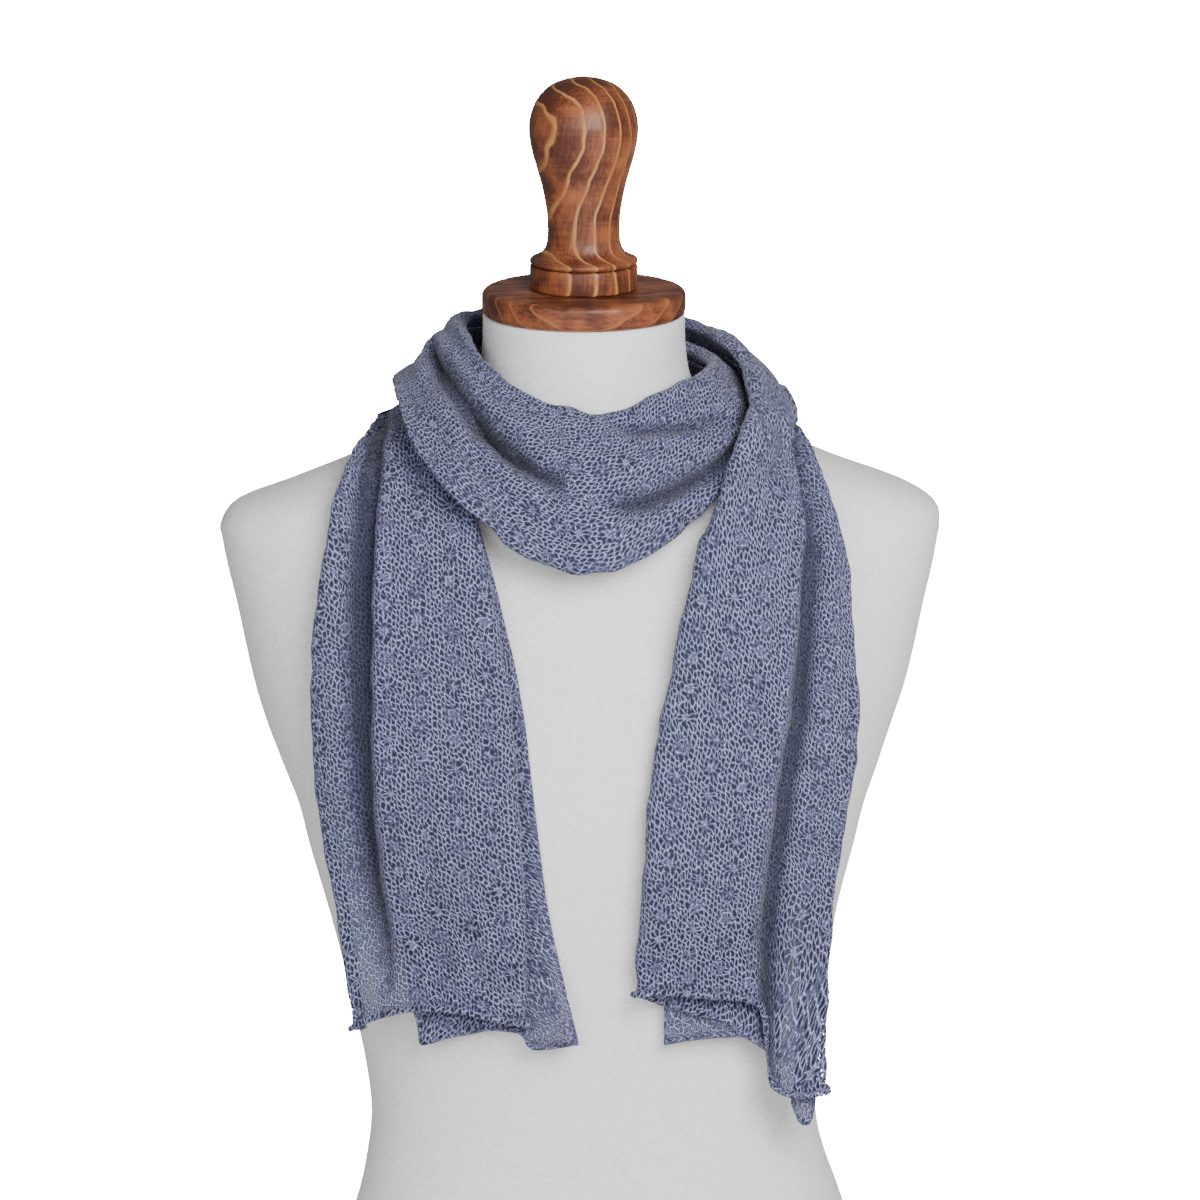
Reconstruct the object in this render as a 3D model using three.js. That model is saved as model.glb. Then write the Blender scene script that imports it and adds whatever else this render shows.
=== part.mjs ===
// A lace-knit scarf worn once round the neck of a limbless dress form with a turned wooden neck cap.
// Millimetres. +Z is up, the form faces -Y, and the origin is the middle of its flat base.
// The scarf is one strip of cloth, folded lengthwise in three. It runs up from the hem at -X, behind
// the neck, round the front as a loop, behind the neck again, and down to the hem at +X.
import * as THREE from "three";

// Driving dimensions
const CLOTH_WALL = 1.6; // thickness of the knitted cloth as a wall
const SEAM_GAP = 0.3; // between neighbouring pieces
const LIFT = 1; // of the cloth off what it lies on
const NECK_TOP = { y: -5, z: 562 }; // middle of the neck's top face
const NECK_TILT = THREE.MathUtils.degToRad(6.5); // the neck's top leans forward by this
const CAP = { radius: 53.5, height: 13.5, round: 3.5 };
const COLLAR = { radius: 28.3, height: 12.5, bevel: 1.2 };

// Sections of the body, from the base up. half is half its width, front and back are its reach from
// the shoulder line, shift moves it towards +X, and power is the squareness of its outline.
const BODY_COLUMNS = ["z", "half", "front", "back", "shift", "power"];
const BODY = table(BODY_COLUMNS, [
  [0, 146, 90, 99, 8, 2.4],
  [6, 149.5, 93.5, 102.5, 8, 2.4],
  [30, 147, 94, 103, 8, 2.4],
  [60, 139, 91, 98, 8, 2.4],
  [89, 129.5, 86, 91, 8, 2.4],
  [115, 122.3, 80, 84, 6, 2.4],
  [137, 119.4, 78, 80, 5, 2.4],
  [164, 121.6, 79, 79, 4, 2.4],
  [196, 126.3, 84, 82, 2, 2.4],
  [223, 131, 89, 85, 0.5, 2.4],
  [249, 136.4, 94, 87, -0.8, 2.4],
  [281, 145, 99, 89, -1.3, 2.4],
  [303, 150.3, 101, 90, -1.4, 2.4],
  [324, 157.8, 100, 91, -1.9, 2.4],
  [346, 165.5, 97.5, 92, -2.5, 2.4],
  [367, 172, 94, 92.5, -2.2, 2.5],
  [389, 177, 90, 92.5, -2, 2.6],
  [410, 181.2, 85.5, 91, -2, 2.7],
  [431, 186, 80, 87, -2.1, 2.8],
  [445, 188.5, 76, 83, -2.2, 2.9],
  [453, 189.5, 73, 80, -2, 2.9],
  [463.5, 184.4, 69, 75.5, 0.8, 2.8],
  [474, 162.5, 66, 71.5, 6, 2.6],
  [485, 133.5, 63, 68, 4.6, 2.4],
  [493, 114, 61, 65, 3.5, 2.3],
  [500, 95, 59.5, 62.5, 2.5, 2.2],
  [508, 76, 58, 60, 1, 2.1],
  [517, 63.5, 57.5, 57, 0, 2],
  [530, 56, 57.5, 53.5, 0, 2],
  [545, 53.5, 57.5, 49.5, 0, 2],
  [562, 53, 58, 48, 0, 2],
]);

// Sections of the folded scarf, from the hem at -X to the hem at +X. near is the edge of its face
// beside the neck, far is its other edge. thick is the depth of the folded stack, crown the swell of
// its face, turn the width of the hidden return behind the far edge. mid is where the middle layer
// folds back, and last where the hidden layer ends, both as shares of the face's width from the near edge.
const SCARF_COLUMNS = [
  "nearX", "nearY", "nearZ", "farX", "farY", "farZ", "thick", "crown", "turn", "mid", "last",
];
const SCARF = table(SCARF_COLUMNS, [
  [-31, -104, 202, -120, -84, 200, 12, 1, 6, 0.63, -0.29],
  [-30.5, -107, 256, -128, -84, 258, 15, 1, 6, 0.72, -0.11],
  [-34, -111, 316, -137, -84, 316, 15, 2, 6, 0.84, -0.055],
  [-38, -110, 370, -139, -84, 370, 15, 3, 6, 0.88, -0.03],
  [-46, -105, 419, -136, -82, 420, 15, 3, 8, 0.9, -0.01],
  [-53, -94, 456, -129, -72, 459, 13, 3, 10, 0.9, 0.01],
  [-60, -74, 487, -122, -50, 484, 10, 2, 12, 0.9, 0.03],
  [-63, -46, 511, -115, -24, 500, 9, 2, 13, 0.93, 0.12],
  [-63, -13, 527, -109, 7, 507, 9, 2, 13, 0.93, 0.12],
  [-58, 22, 540, -100, 40, 499, 9, 2, 13, 0.93, 0.12],
  [-38, 48, 547, -68, 72, 489, 9, 2, 13, 0.93, 0.12],
  [0, 59, 550, 0, 86, 484, 9, 2, 13, 0.93, 0.12],
  [38, 48, 548, 68, 72, 488, 9, 2, 13, 0.93, 0.12],
  [60, 20, 544, 94, 38, 497, 9, 3, 13, 0.93, 0.12],
  [69, -12, 539, 99, 2, 501, 10, 4, 13, 0.93, 0.12],
  [60, -44, 535, 88, -42, 491, 11, 7, 13, 0.93, 0.12],
  [37, -62, 526, 65, -76, 469, 12, 9, 14, 0.93, 0.12],
  [14, -69, 517, 33, -100, 447, 12, 11, 15, 0.93, 0.12],
  [-7, -68, 520, 0, -107, 439, 12, 11, 15, 0.93, 0.12],
  [-29, -60, 527, -31, -105, 449, 12, 10, 15, 0.93, 0.12],
  [-48, -40, 543, -61, -94, 469, 12, 7, 14, 0.93, 0.12],
  [-61, -14, 556, -83, -72, 492, 12, 5, 13, 0.93, 0.12],
  [-67, 12, 560, -95, -40, 513, 12, 6, 13, 0.93, 0.12],
  [-64, 35, 561, -93, 3, 515, 11, 6, 13, 0.93, 0.12],
  [-47, 56, 563, -88, 46, 505, 10, 3, 13, 0.93, 0.12],
  [-20, 68, 564, -55, 88, 486, 10, 3, 13, 0.93, 0.12],
  [12, 71, 564, 12, 99, 480, 10, 3, 13, 0.93, 0.12],
  [43, 57, 561, 68, 80, 490, 10, 3, 13, 0.93, 0.2],
  [62, 32, 553, 92, 43, 504, 10, 3, 13, 0.93, 0.28],
  [70, 3, 543, 95, 6, 508, 10, 3, 13, 0.88, 0.3],
  [79, -25, 530, 101, -22, 490, 11, 3, 13, 0.85, 0.3],
  [81, -59, 512, 118, -47, 467, 12, 3, 13, 0.82, 0.28],
  [75, -84, 491, 133, -68, 442, 12, 3, 14, 0.8, 0.22],
  [62, -98, 456.5, 137.5, -80, 412, 14, 3, 15, 0.78, 0.15],
  [52, -108, 416.5, 141, -89, 380, 15, 3, 15, 0.78, 0.15],
  [43, -109, 374, 141, -88, 345, 15, 3, 15, 0.78, 0.16],
  [35.5, -111, 333, 136, -88, 312, 15, 3, 15, 0.78, 0.16],
  [32, -110, 290, 131, -87, 277, 15, 3, 16, 0.78, 0.16],
  [29, -106, 250, 127.5, -84, 240, 14, 2, 16, 0.78, 0.16],
  [28, -104, 213, 125.5, -84, 208, 12, 2, 17, 0.78, 0.16],
]);

// The stretches of the scarf, each from one row of the table to another.
const STRETCHES = table(["name", "from", "to", "steps"], [
  ["left_tail", 0, 8, 22],
  ["inner_nape_wrap", 8, 14, 13],
  ["front_loop", 14, 22.5, 24],
  ["outer_nape_wrap", 22.5, 29, 15],
  ["right_tail", 29, 39, 25],
]);
const ROWS_PER_TURN = 10; // a stretch rides over what lies this many rows or more before it

// Long folds in the face: a trough has a negative height. Each runs between two rows of the table, at
// three places across the face, as shares of its width from the near edge.
const FOLDS = table(["from", "to", "start", "middle", "end", "height", "width"], [
  // where the outer part of the left tail falls behind its flat panel
  [0.2, 8, 0.78, 0.74, 0.92, -10, 6],
  [2.5, 7.4, 0.74, 0.76, 0.86, -5, 6],
  [0.2, 6.5, 0.76, 0.68, 0.62, 1.5, 6],
  // behind the neck
  [8, 14.5, 0.5, 0.55, 0.45, -4, 8],
  // from the right of the loop towards its middle
  [14.6, 17.6, 0.92, 0.76, 0.62, -7, 6],
  [15.1, 17.3, 0.54, 0.3, 0.05, -5, 5],
  [15.8, 19, 0.62, 0.6, 0.52, -3, 9],
  // the deep fold at the left of the loop
  [18.2, 22.4, 0.5, 0.45, 0.4, -11, 8],
  [23, 29.5, 0.42, 0.5, 0.48, -4, 9],
  // beside the roll along the right tail
  [29.4, 39.8, 0.85, 0.68, 0.71, -9, 6],
  [31, 39.8, 0.88, 0.84, 0.86, 2, 6],
]);

// How far each hem hangs below its last section, against the place across the folded cloth.
const HEM_COLUMNS = ["place", "drop"];
const LEFT_HEM = table(HEM_COLUMNS, [
  [0, 2], [1, 3], [1.2, -5], [1.4, -10], [1.6, -9.5], [1.8, -6], [2, -2], [2.3, 1.5], [2.7, 7], [3, 11],
  [3.3, 3], [3.66, 4], [3.72, 12], [4, 9],
]);
const RIGHT_HEM = table(HEM_COLUMNS, [
  [0, 50], [0.25, 60], [0.6, 61], [0.75, 54], [0.9, 42], [1.05, 44], [1.3, 41], [1.38, -1], [1.6, -7],
  [1.84, -9], [2, -6], [2.3, 2], [2.56, 7], [2.66, 14], [3, 27], [3.2, 22], [3.35, 16], [3.7, 17],
  [4, 20.5],
]);

function table(columns, rows) {
  return rows.map((row) => Object.fromEntries(row.map((value, i) => [columns[i], value])));
}

const clamp = THREE.MathUtils.clamp;

// A smooth value of a column between two rows, at a row number that may be a fraction.
function between(rows, at, column) {
  const last = rows.length - 1;
  const i = Math.min(Math.floor(clamp(at, 0, last)), last - 1);
  const s = clamp(at, 0, last) - i;
  const value = (k) => {
    if (k < 0) return 2 * rows[0][column] - rows[1][column];
    if (k > last) return 2 * rows[last][column] - rows[last - 1][column];
    return rows[k][column];
  };
  const [a, b, c, d] = [value(i - 1), value(i), value(i + 1), value(i + 2)];
  return b + 0.5 * s * (c - a + s * (2 * a - 5 * b + 4 * c - d + s * (3 * (b - c) + d - a)));
}

// The row number of a table, as a fraction, where its first column has this value.
function rowAt(rows, column, value) {
  const last = rows.length - 1;
  if (value <= rows[0][column]) return 0;
  if (value >= rows[last][column]) return last;
  const i = rows.findIndex((row) => row[column] > value) - 1;
  return i + (value - rows[i][column]) / (rows[i + 1][column] - rows[i][column]);
}

function bodySection(z) {
  const at = rowAt(BODY, "z", z);
  const section = {};
  for (const column of BODY_COLUMNS.slice(1)) section[column] = between(BODY, at, column);
  return section;
}

// Below 0 inside the body's outline at its own height, above 0 outside it.
function bodyLevel(x, y, z) {
  const s = bodySection(z);
  const across = Math.abs((x - s.shift) / s.half);
  const along = Math.abs(y < 0 ? y / s.front : y / s.back);
  return Math.pow(across ** s.power + along ** s.power, 1 / s.power) - 1;
}

// Distance of a point from the body, and the way out.
function bodyGap(p) {
  const h = 0.5;
  const level = bodyLevel(p.x, p.y, p.z);
  const out = new THREE.Vector3(
    bodyLevel(p.x + h, p.y, p.z) - bodyLevel(p.x - h, p.y, p.z),
    bodyLevel(p.x, p.y + h, p.z) - bodyLevel(p.x, p.y - h, p.z),
    bodyLevel(p.x, p.y, p.z + h) - bodyLevel(p.x, p.y, p.z - h),
  ).divideScalar(2 * h);
  const slope = out.length();
  return { gap: level / slope, out: out.divideScalar(slope) };
}

// Moves a point out until it is clear of the body by a distance, gently near that distance.
function clearOfBody(p, clearance) {
  const softness = 1.5;
  for (let i = 0; i < 3; i++) {
    const { gap, out } = bodyGap(p);
    const short = clearance - gap;
    p.addScaledVector(out, i === 0 ? 0.5 * (short + Math.hypot(short, softness)) : Math.max(0, short));
  }
  return p;
}

// The face's two edges and the way out of it at a row of the table.
function scarfFrame(at) {
  const edge = (side, t) =>
    new THREE.Vector3(...["X", "Y", "Z"].map((axis) => between(SCARF, t, side + axis)));
  const step = 0.05;
  const near = edge("near", at);
  const far = edge("far", at);
  const [lo, hi] = [clamp(at - step, 0, SCARF.length - 1), clamp(at + step, 0, SCARF.length - 1)];
  const along = edge("near", hi).add(edge("far", hi)).sub(edge("near", lo)).sub(edge("far", lo));
  const across = far.clone().sub(near);
  const width = across.length();
  const out = new THREE.Vector3().crossVectors(along, across).normalize();
  return { near, across, width, out };
}

function foldHeight(at, share, width) {
  let height = 0;
  for (const fold of FOLDS) {
    const s = (at - fold.from) / (fold.to - fold.from);
    if (s <= 0 || s >= 1) continue;
    const centre =
      fold.start * (1 - s) * (1 - 2 * s) + 4 * fold.middle * s * (1 - s) + fold.end * s * (2 * s - 1);
    const away = ((share - centre) * width) / fold.width;
    height += fold.height * Math.sqrt(Math.sin(Math.PI * s)) * Math.exp(-away * away);
  }
  return height;
}

// The folded stack's outline at a row: where a place across the cloth lies, as a distance from the near
// edge and a height over the stack's lowest layer. Places 0 to 1 are the return behind the far edge,
// 1 to 2 the face, 2 to 3 the middle layer and 3 to 4 the last one, with a round fold at each whole number.
const FOLD_SHARE = 0.08; // of a place, taken by half a round fold
const STACK_SHARES = [0.64, 1, 0.3, 0]; // height of each layer in the stack
const PRESSED = [2.2, 4.4, 2.2, 0]; // height of each layer where a trough presses the stack flat
function stackPoint(at, place, width) {
  const value = (column) => between(SCARF, at, column);
  const thick = value("thick");
  const heights = STACK_SHARES.map((share) => share * thick);
  const ends = [
    [width - value("turn"), width],
    [width, 0],
    [0, value("mid") * width],
    [value("mid") * width, value("last") * width],
  ];
  const layer = clamp(Math.floor(place), 0, 3);
  const radius = (k) => Math.abs(heights[k] - heights[k - 1]) / 2;
  const fold = Math.round(place);
  if (fold >= 1 && fold <= 3 && Math.abs(place - fold) < FOLD_SHARE) {
    const turn = ((place - fold) / FOLD_SHARE) * (Math.PI / 2);
    const outward = fold === 2 ? -1 : 1;
    const middle = (heights[fold] + heights[fold - 1]) / 2;
    const r = radius(fold);
    const s = (1 + Math.sin(turn)) / 2;
    return {
      x: ends[fold][0] + outward * r * (Math.cos(turn) - 1),
      h: middle + Math.sign(heights[fold] - heights[fold - 1]) * r * Math.sin(turn),
      pressed: PRESSED[fold - 1] * (1 - s) + PRESSED[fold] * s,
    };
  }
  const from = layer === 0 ? 0 : FOLD_SHARE;
  const to = layer === 3 ? 1 : 1 - FOLD_SHARE;
  const s = (place - layer - from) / (to - from);
  const inset = (k) => (k >= 1 && k <= 3 ? (k === 2 ? 1 : -1) * radius(k) : 0);
  const a = ends[layer][0] + inset(layer);
  const b = ends[layer][1] + inset(layer + 1);
  return { x: a + (b - a) * s, h: heights[layer], pressed: PRESSED[layer] };
}

function hemDrop(rows, place) {
  return between(rows, rowAt(rows, "place", place), "drop");
}

// Points on the face of the earlier rows, which the later ones ride over.
const CARRIED = [];
const CARRY = { rows: 0.25, places: [1.03, 1.15, 1.3, 1.45, 1.6, 1.75, 1.9, 1.97], reach: 9, depth: 32, clear: 2.5 };

// Lifts a point over the earlier turns of the scarf where they lie under it.
function clearOfScarf(p, at, clearance) {
  const to = at - ROWS_PER_TURN;
  if (to < 0) return p;
  layCarriedRows(to);
  for (let i = 0; i < 2; i++) {
    let cover = 0;
    const middle = new THREE.Vector3();
    const out = new THREE.Vector3();
    for (const sample of CARRIED) {
      if (sample.at > to) break;
      const away = p.clone().sub(sample.p);
      const height = away.dot(sample.out);
      const reach = (away.lengthSq() - height * height) / CARRY.reach ** 2;
      if (reach > 6 || Math.abs(height) > CARRY.depth) continue;
      const weight = Math.exp(-reach);
      cover += weight * sample.area;
      middle.addScaledVector(sample.p, weight * sample.area);
      out.addScaledVector(sample.out, weight * sample.area);
    }
    if (cover < 1e-6) return p;
    middle.divideScalar(cover);
    out.normalize();
    const share = cover / (Math.PI * CARRY.reach ** 2);
    const covered = THREE.MathUtils.smoothstep(share, 0.02, 0.25);
    const short = clearance - p.clone().sub(middle).dot(out);
    if (short > 0) p.addScaledVector(out, short * covered);
  }
  return p;
}

function layCarriedRows(to) {
  const done = CARRIED.length ? CARRIED[CARRIED.length - 1].at : -CARRY.rows;
  for (let at = done + CARRY.rows; at <= Math.min(to, 19); at += CARRY.rows) {
    for (let k = 0; k < CARRY.places.length; k++) {
      const place = CARRY.places[k];
      const { p, out } = clothSurface(at, place, false);
      const reachPlace = (CARRY.places[Math.min(k + 1, 7)] - CARRY.places[Math.max(k - 1, 0)]) / 2;
      const width = scarfFrame(at).width * reachPlace;
      const pace = clothPoint(at + 0.1, place).distanceTo(clothPoint(Math.max(at - 0.1, 0), place));
      CARRIED.push({ at, p, out, area: (width * pace * CARRY.rows) / Math.min(0.2, at + 0.1) });
    }
  }
}

// A point of the cloth's middle surface, with its folds or bridging them.
function clothPoint(at, place, folded = true) {
  const frame = scarfFrame(at);
  const { x, h, pressed } = stackPoint(at, place, frame.width);
  const share = x / frame.width;
  const inside = clamp(share, 0, 1);
  const thick = between(SCARF, at, "thick");
  const fold = folded ? foldHeight(at, share, frame.width) : 0;
  const press = Math.max(fold, PRESSED[1] - thick);
  const height = press < 0 ? pressed + (h - pressed) * (1 + press / (thick - PRESSED[1])) : h + press * (h / thick);
  const swell = 4 * inside * (1 - inside) * between(SCARF, at, "crown") + fold - press;
  const p = frame.near
    .clone()
    .addScaledVector(frame.across, share)
    .addScaledVector(frame.out, height - thick + swell);
  clearOfBody(p, LIFT + CLOTH_WALL / 2 + height);
  clearOfScarf(p, at, CARRY.clear + CLOTH_WALL + height);
  const hang = (rows, rowsAway) => hemDrop(rows, place) * Math.exp(-1.2 * rowsAway * rowsAway);
  const last = SCARF.length - 1;
  if (at < 3) p.z -= hang(LEFT_HEM, at);
  if (at > last - 3) p.z -= hang(RIGHT_HEM, last - at);
  return p;
}

// The same point with the way out of the cloth, measured between its neighbours.
function clothSurface(at, place, folded = true) {
  const d = 0.012;
  const end = SCARF.length - 1;
  const point = (a, b) => clothPoint(clamp(a, 0, end), clamp(b, 0, 4), folded);
  const across = point(at, place + d).sub(point(at, place - d));
  const along = point(at + d, place).sub(point(at - d, place));
  return { p: point(at, place), out: new THREE.Vector3().crossVectors(across, along).normalize() };
}

// Places across the cloth where the wall has an edge: close together round the folds.
const PLACES = [];
[2, 11, 3, 4].forEach((steps, layer) => {
  const from = layer === 0 ? 0 : FOLD_SHARE;
  const to = layer === 3 ? 1 : 1 - FOLD_SHARE;
  for (let i = 0; i <= steps; i++) PLACES.push(layer + from + ((to - from) * i) / steps);
  if (layer < 3) PLACES.push(layer + 1 - FOLD_SHARE / 3, layer + 1 + FOLD_SHARE / 3);
});

// One stretch of the cloth as a closed wall: a flat box whose points are laid on the cloth's surface.
function stretchOfCloth({ name, from, to, steps }) {
  const across = PLACES.length - 1;
  const box = new THREE.BoxGeometry(across, 1, 1, across, 1, steps);
  const position = box.getAttribute("position");
  const pace = (end) => Math.min(
    ...PLACES.map((place) => clothPoint(end + 0.1, place).distanceTo(clothPoint(end - 0.1, place)) / 0.2),
  );
  const inset = (end) => (end === 0 || end === SCARF.length - 1 ? 0 : (2.5 * SEAM_GAP) / pace(end));
  const [first, last] = [from + inset(from), to - inset(to)];
  const surface = [];
  for (let k = 0; k <= steps; k++) {
    surface.push(PLACES.map((place) => clothSurface(first + ((last - first) * k) / steps, place)));
  }
  for (let n = 0; n < position.count; n++) {
    const i = Math.round(position.getX(n) + across / 2);
    const k = Math.round((position.getZ(n) + 0.5) * steps);
    const { p, out } = surface[k][i];
    const q = p.clone().addScaledVector(out, -position.getY(n) * CLOTH_WALL);
    position.setXYZ(n, q.x, q.y, q.z);
  }
  return named(name, box, MATERIALS.knit);
}

const MATERIALS = {
  knit: new THREE.MeshStandardMaterial({ color: 0x7276a0, roughness: 0.95, metalness: 0 }),
  jersey: new THREE.MeshStandardMaterial({ color: 0xcdcbc8, roughness: 0.9, metalness: 0 }),
  wood: new THREE.MeshStandardMaterial({ color: 0x8a4a26, roughness: 0.4, metalness: 0 }),
};

function named(name, geometry, material) {
  const mesh = new THREE.Mesh(geometry, material);
  mesh.name = name;
  return mesh;
}

// The body: a turned shape of one unit, laid on the sections. Its neck is cut off at the tilt of the cap.
function formBody() {
  const around = 44;
  const profile = [new THREE.Vector2(0, 0)];
  BODY.forEach((row, i) => profile.push(new THREE.Vector2(1, i)));
  profile.push(new THREE.Vector2(0, BODY.length - 1));
  const geometry = new THREE.LatheGeometry(profile, around).rotateX(Math.PI / 2);
  const position = geometry.getAttribute("position");
  for (let n = 0; n < position.count; n++) {
    const row = BODY[Math.round(position.getZ(n))];
    const rim = Math.round(Math.hypot(position.getX(n), position.getY(n)));
    const angle = Math.atan2(position.getY(n), position.getX(n));
    const [c, s] = [Math.cos(angle) * rim, Math.sin(angle) * rim];
    const squared = (v) => Math.sign(v) * Math.abs(v) ** (2 / row.power);
    const x = row.shift + row.half * squared(c);
    const y = (s < 0 ? row.front : row.back) * squared(s);
    const lean = clamp((row.z - 517) / (NECK_TOP.z - 517), 0, 1) * Math.tan(NECK_TILT);
    position.setXYZ(n, x, y, row.z + (y - NECK_TOP.y) * lean);
  }
  return named("dress_form_body", geometry, MATERIALS.jersey);
}

// The wooden cap, collar and knob, turned about one axis that leans forward with the neck.
const turned = (profile, around) =>
  new THREE.LatheGeometry(
    profile.map(([r, z]) => new THREE.Vector2(r, z)),
    around,
  ).rotateX(Math.PI / 2);

function roundedDisc({ radius, height, round }) {
  const points = [[0, 0]];
  for (let i = 0; i <= 3; i++) {
    const a = (Math.PI / 2) * (i / 3 - 1);
    points.push([radius - round + round * Math.cos(a), round + round * Math.sin(a)]);
  }
  for (let i = 0; i <= 3; i++) {
    const a = (Math.PI / 2) * (i / 3);
    points.push([radius - round + round * Math.cos(a), height - round + round * Math.sin(a)]);
  }
  points.push([0, height]);
  return points;
}

const KNOB = table(["height", "radius"], [
  [0, 27], [0.8, 28], [2, 28.3], [3.2, 27.6], [4.4, 25.2], [6.4, 21.9], [9.5, 19.9], [15, 18.9], [25, 19.1],
  [33, 20.2], [41, 21.8], [49, 24], [57, 26.3], [65, 28], [72.5, 28.5], [79.5, 27.3],
  [85.5, 24.8], [90.5, 20.9], [94.3, 15.8], [96.7, 9.5],
]);

const knobProfile = [[0, 0], ...KNOB.map(({ height, radius }) => [radius, height]), [0, 98.1]];
const collarProfile = [
  [0, 0], [COLLAR.radius - COLLAR.bevel, 0], [COLLAR.radius, COLLAR.bevel],
  [COLLAR.radius, COLLAR.height - COLLAR.bevel], [COLLAR.radius - COLLAR.bevel, COLLAR.height],
  [0, COLLAR.height],
];

const neckWood = new THREE.Group();
neckWood.position.set(0, NECK_TOP.y, NECK_TOP.z);
neckWood.rotation.x = NECK_TILT;
[
  ["neck_cap", roundedDisc(CAP), 40, SEAM_GAP],
  ["knob_collar", collarProfile, 32, 2 * SEAM_GAP + CAP.height],
  ["knob", knobProfile, 28, 3 * SEAM_GAP + CAP.height + COLLAR.height],
].forEach(([name, profile, around, height]) => {
  const mesh = named(name, turned(profile, around), MATERIALS.wood);
  mesh.position.z = height;
  neckWood.add(mesh);
});

const part = new THREE.Group();
part.add(formBody(), neckWood, ...STRETCHES.map(stretchOfCloth));
export default part;
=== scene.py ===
"""A lace-knit scarf wound once round the neck of a limbless dress form with a wooden cap and knob.

Lengths in the tables are millimetres in the part's frame: +Z up, the form faces -Y, the origin is the
middle of the form's base. The scarf is one strip, folded lengthwise in three. A place along it is a row
number of its table; a place across it runs from 0 to 4 through the four layers of the folded stack.
"""
import math

import bmesh
import bpy
import numpy as np
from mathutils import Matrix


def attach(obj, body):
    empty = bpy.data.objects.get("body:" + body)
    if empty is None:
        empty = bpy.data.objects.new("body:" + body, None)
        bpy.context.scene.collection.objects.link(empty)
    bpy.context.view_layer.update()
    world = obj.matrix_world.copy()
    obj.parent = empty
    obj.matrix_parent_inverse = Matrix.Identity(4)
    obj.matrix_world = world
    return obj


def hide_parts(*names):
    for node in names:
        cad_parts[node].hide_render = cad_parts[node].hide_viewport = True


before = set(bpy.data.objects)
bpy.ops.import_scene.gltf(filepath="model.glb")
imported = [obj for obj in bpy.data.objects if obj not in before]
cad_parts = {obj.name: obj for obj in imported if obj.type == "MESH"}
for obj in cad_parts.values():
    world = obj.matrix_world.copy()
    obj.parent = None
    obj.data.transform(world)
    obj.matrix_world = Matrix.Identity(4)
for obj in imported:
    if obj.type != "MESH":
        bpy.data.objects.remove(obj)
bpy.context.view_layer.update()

bl_info = {
    "name": "Scarf on a dress form",
    "version": (1, 0, 0),
    "blender": (4, 5, 0),
    "location": "View3D > Sidebar > Scarf",
    "description": "Builds the knitted scarf, the dress form and a plain studio",
    "category": "Object",
}

MM = 0.001
LIFT = 1  # of the cloth off what it lies on
NECK_TOP_Y = -5
NECK_TOP_Z = 562
NECK_START_Z = 517  # where the body begins to lean into the neck
NECK_TILT = math.radians(6.5)
PIECE_GAP = 0.3  # between the wooden pieces


def table(columns, rows):
    """Rows of numbers as one array for each named column."""
    values = np.array(rows, dtype=float).T
    return dict(zip(columns, values))


# Sections of the body, from the base up: its height, half its width, its reach to the front and to the
# back, its shift towards +X, and the squareness of its outline.
BODY = table(("z", "half", "front", "back", "shift", "power"), (
    (0, 146, 90, 99, 8, 2.4),
    (6, 149.5, 93.5, 102.5, 8, 2.4),
    (30, 147, 94, 103, 8, 2.4),
    (60, 139, 91, 98, 8, 2.4),
    (89, 129.5, 86, 91, 8, 2.4),
    (115, 122.3, 80, 84, 6, 2.4),
    (137, 119.4, 78, 80, 5, 2.4),
    (164, 121.6, 79, 79, 4, 2.4),
    (196, 126.3, 84, 82, 2, 2.4),
    (223, 131, 89, 85, 0.5, 2.4),
    (249, 136.4, 94, 87, -0.8, 2.4),
    (281, 145, 99, 89, -1.3, 2.4),
    (303, 150.3, 101, 90, -1.4, 2.4),
    (324, 157.8, 100, 91, -1.9, 2.4),
    (346, 165.5, 97.5, 92, -2.5, 2.4),
    (367, 172, 94, 92.5, -2.2, 2.5),
    (389, 177, 90, 92.5, -2, 2.6),
    (410, 181.2, 85.5, 91, -2, 2.7),
    (431, 186, 80, 87, -2.1, 2.8),
    (445, 188.5, 76, 83, -2.2, 2.9),
    (453, 189.5, 73, 80, -2, 2.9),
    (463.5, 184.4, 69, 75.5, 0.8, 2.8),
    (474, 162.5, 66, 71.5, 6, 2.6),
    (485, 133.5, 63, 68, 4.6, 2.4),
    (493, 114, 61, 65, 3.5, 2.3),
    (500, 95, 59.5, 62.5, 2.5, 2.2),
    (508, 76, 58, 60, 1, 2.1),
    (517, 63.5, 57.5, 57, 0, 2),
    (530, 56, 57.5, 53.5, 0, 2),
    (545, 53.5, 57.5, 49.5, 0, 2),
    (562, 53, 58, 48, 0, 2),
))

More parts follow.
